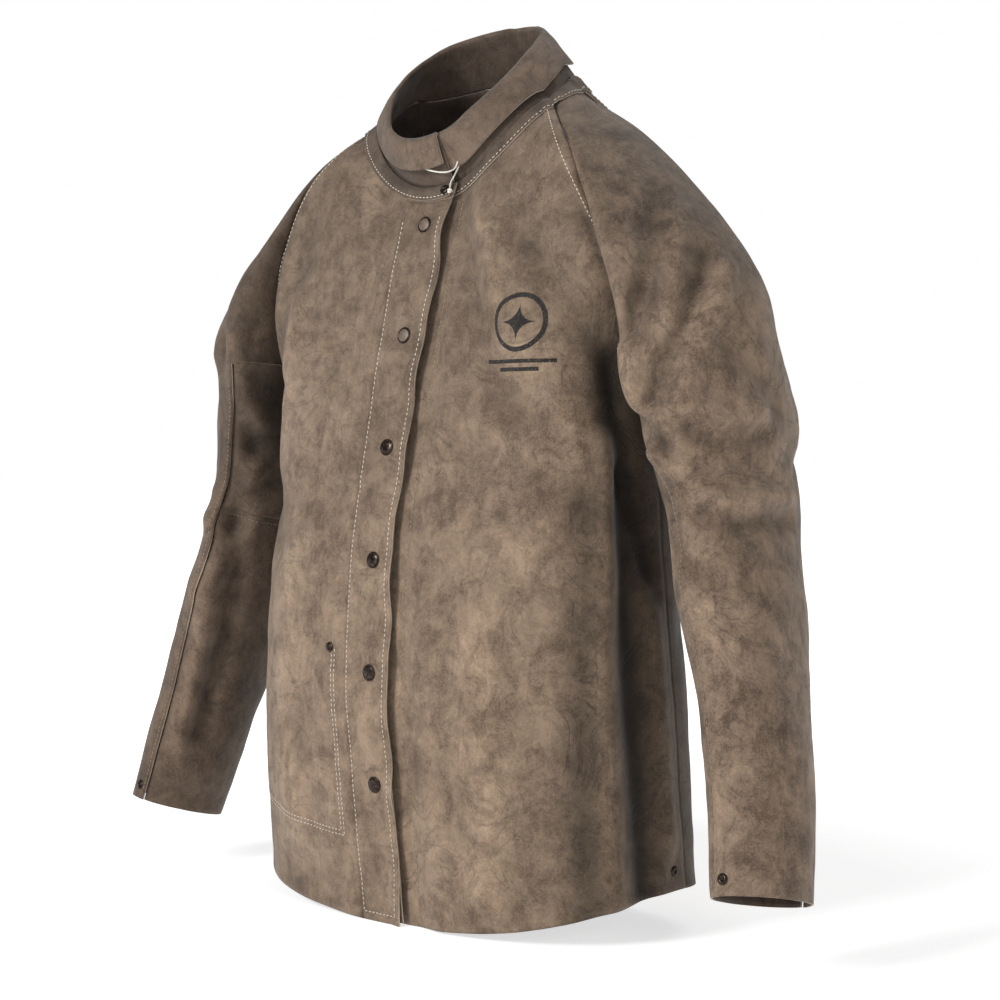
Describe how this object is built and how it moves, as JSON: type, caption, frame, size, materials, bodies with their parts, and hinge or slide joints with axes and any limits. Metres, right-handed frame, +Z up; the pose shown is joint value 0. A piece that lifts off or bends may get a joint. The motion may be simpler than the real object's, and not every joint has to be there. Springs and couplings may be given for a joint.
{
  "type": "leather welding jacket",
  "caption": "Snap-fastened split-leather welding jacket with raglan sleeves, a turned-down stand collar, riveted cuffs, hem and pocket, and a hang tab inside the back neck.",
  "frame": {"origin": "under the middle of the jacket's box, level with its lowest hem corner", "axes": "+Z up, -Y out of the front, +X to the wearer's left"},
  "size_m": [0.7882, 0.246, 0.8281],
  "materials": {
    "suede": "brushed split-cowhide suede, soft brown-grey, matt",
    "lining_suede": "darker flesh side of the same split leather",
    "blackened_metal": "blackened brass, satin to gloss",
    "spring_steel": "plated spring steel",
    "cotton_string": "twisted white cotton"
  },
  "bodies": {
    "torso": {"right_front_panel": "suede", "left_front_panel": "suede", "left_front_facing": "lining_suede", "placket_head": "suede", "pocket_bag": "lining_suede", "pocket_rivet": "blackened_metal", "left_hem_rivet": "blackened_metal", "right_hem_rivet": "blackened_metal", "collar_rivet": "blackened_metal", "back_panel": "suede", "hang_tab": "lining_suede", "hang_tab_rivet_left": "blackened_metal", "hang_tab_rivet_right": "blackened_metal", "neck_strip": "suede", "collar_stand": "suede", "collar_fall": "suede", "left_shoulder": "suede", "right_shoulder": "suede", "tag_string": "cotton_string", "tag_string_knot": "cotton_string", "snap_stud_1": "spring_steel", "snap_stud_2": "spring_steel", "snap_stud_3": "spring_steel", "snap_stud_4": "spring_steel", "snap_stud_5": "spring_steel", "snap_stud_6": "spring_steel", "snap_post_1": "blackened_metal", "snap_post_2": "blackened_metal", "snap_post_3": "blackened_metal", "snap_post_4": "blackened_metal", "snap_post_5": "blackened_metal", "snap_post_6": "blackened_metal"},
    "placket": {"placket": "suede", "placket_facing": "lining_suede", "snap_cap_1": "blackened_metal", "snap_cap_2": "blackened_metal", "snap_cap_3": "blackened_metal", "snap_cap_4": "blackened_metal", "snap_cap_5": "blackened_metal", "snap_cap_6": "blackened_metal", "snap_socket_1": "spring_steel", "snap_socket_2": "spring_steel", "snap_socket_3": "spring_steel", "snap_socket_4": "spring_steel", "snap_socket_5": "spring_steel", "snap_socket_6": "spring_steel"},
    "left_sleeve": {"left_sleeve_outer": "suede", "left_underarm_panel": "suede", "left_forearm_panel": "suede", "left_cuff_rivet": "blackened_metal"},
    "right_sleeve": {"right_sleeve_outer": "suede", "right_underarm_panel": "suede", "right_forearm_panel": "suede", "right_cuff_rivet": "blackened_metal"}
  },
  "joints": [
    {"name": "left_shoulder_swing", "type": "hinge", "parent": "torso", "child": "left_sleeve", "pos_m": [0.31, 0.0323, 0.5315], "axis": [0, -1, 0], "range_deg": [0, 45]},
    {"name": "right_shoulder_swing", "type": "hinge", "parent": "torso", "child": "right_sleeve", "pos_m": [-0.31, 0.0323, 0.5315], "axis": [0, 1, 0], "range_deg": [0, 45]},
    {"name": "placket_unsnap", "type": "slide", "parent": "torso", "child": "placket", "axis": [0, -1, 0], "range_m": [0, 0.012]}
  ]
}
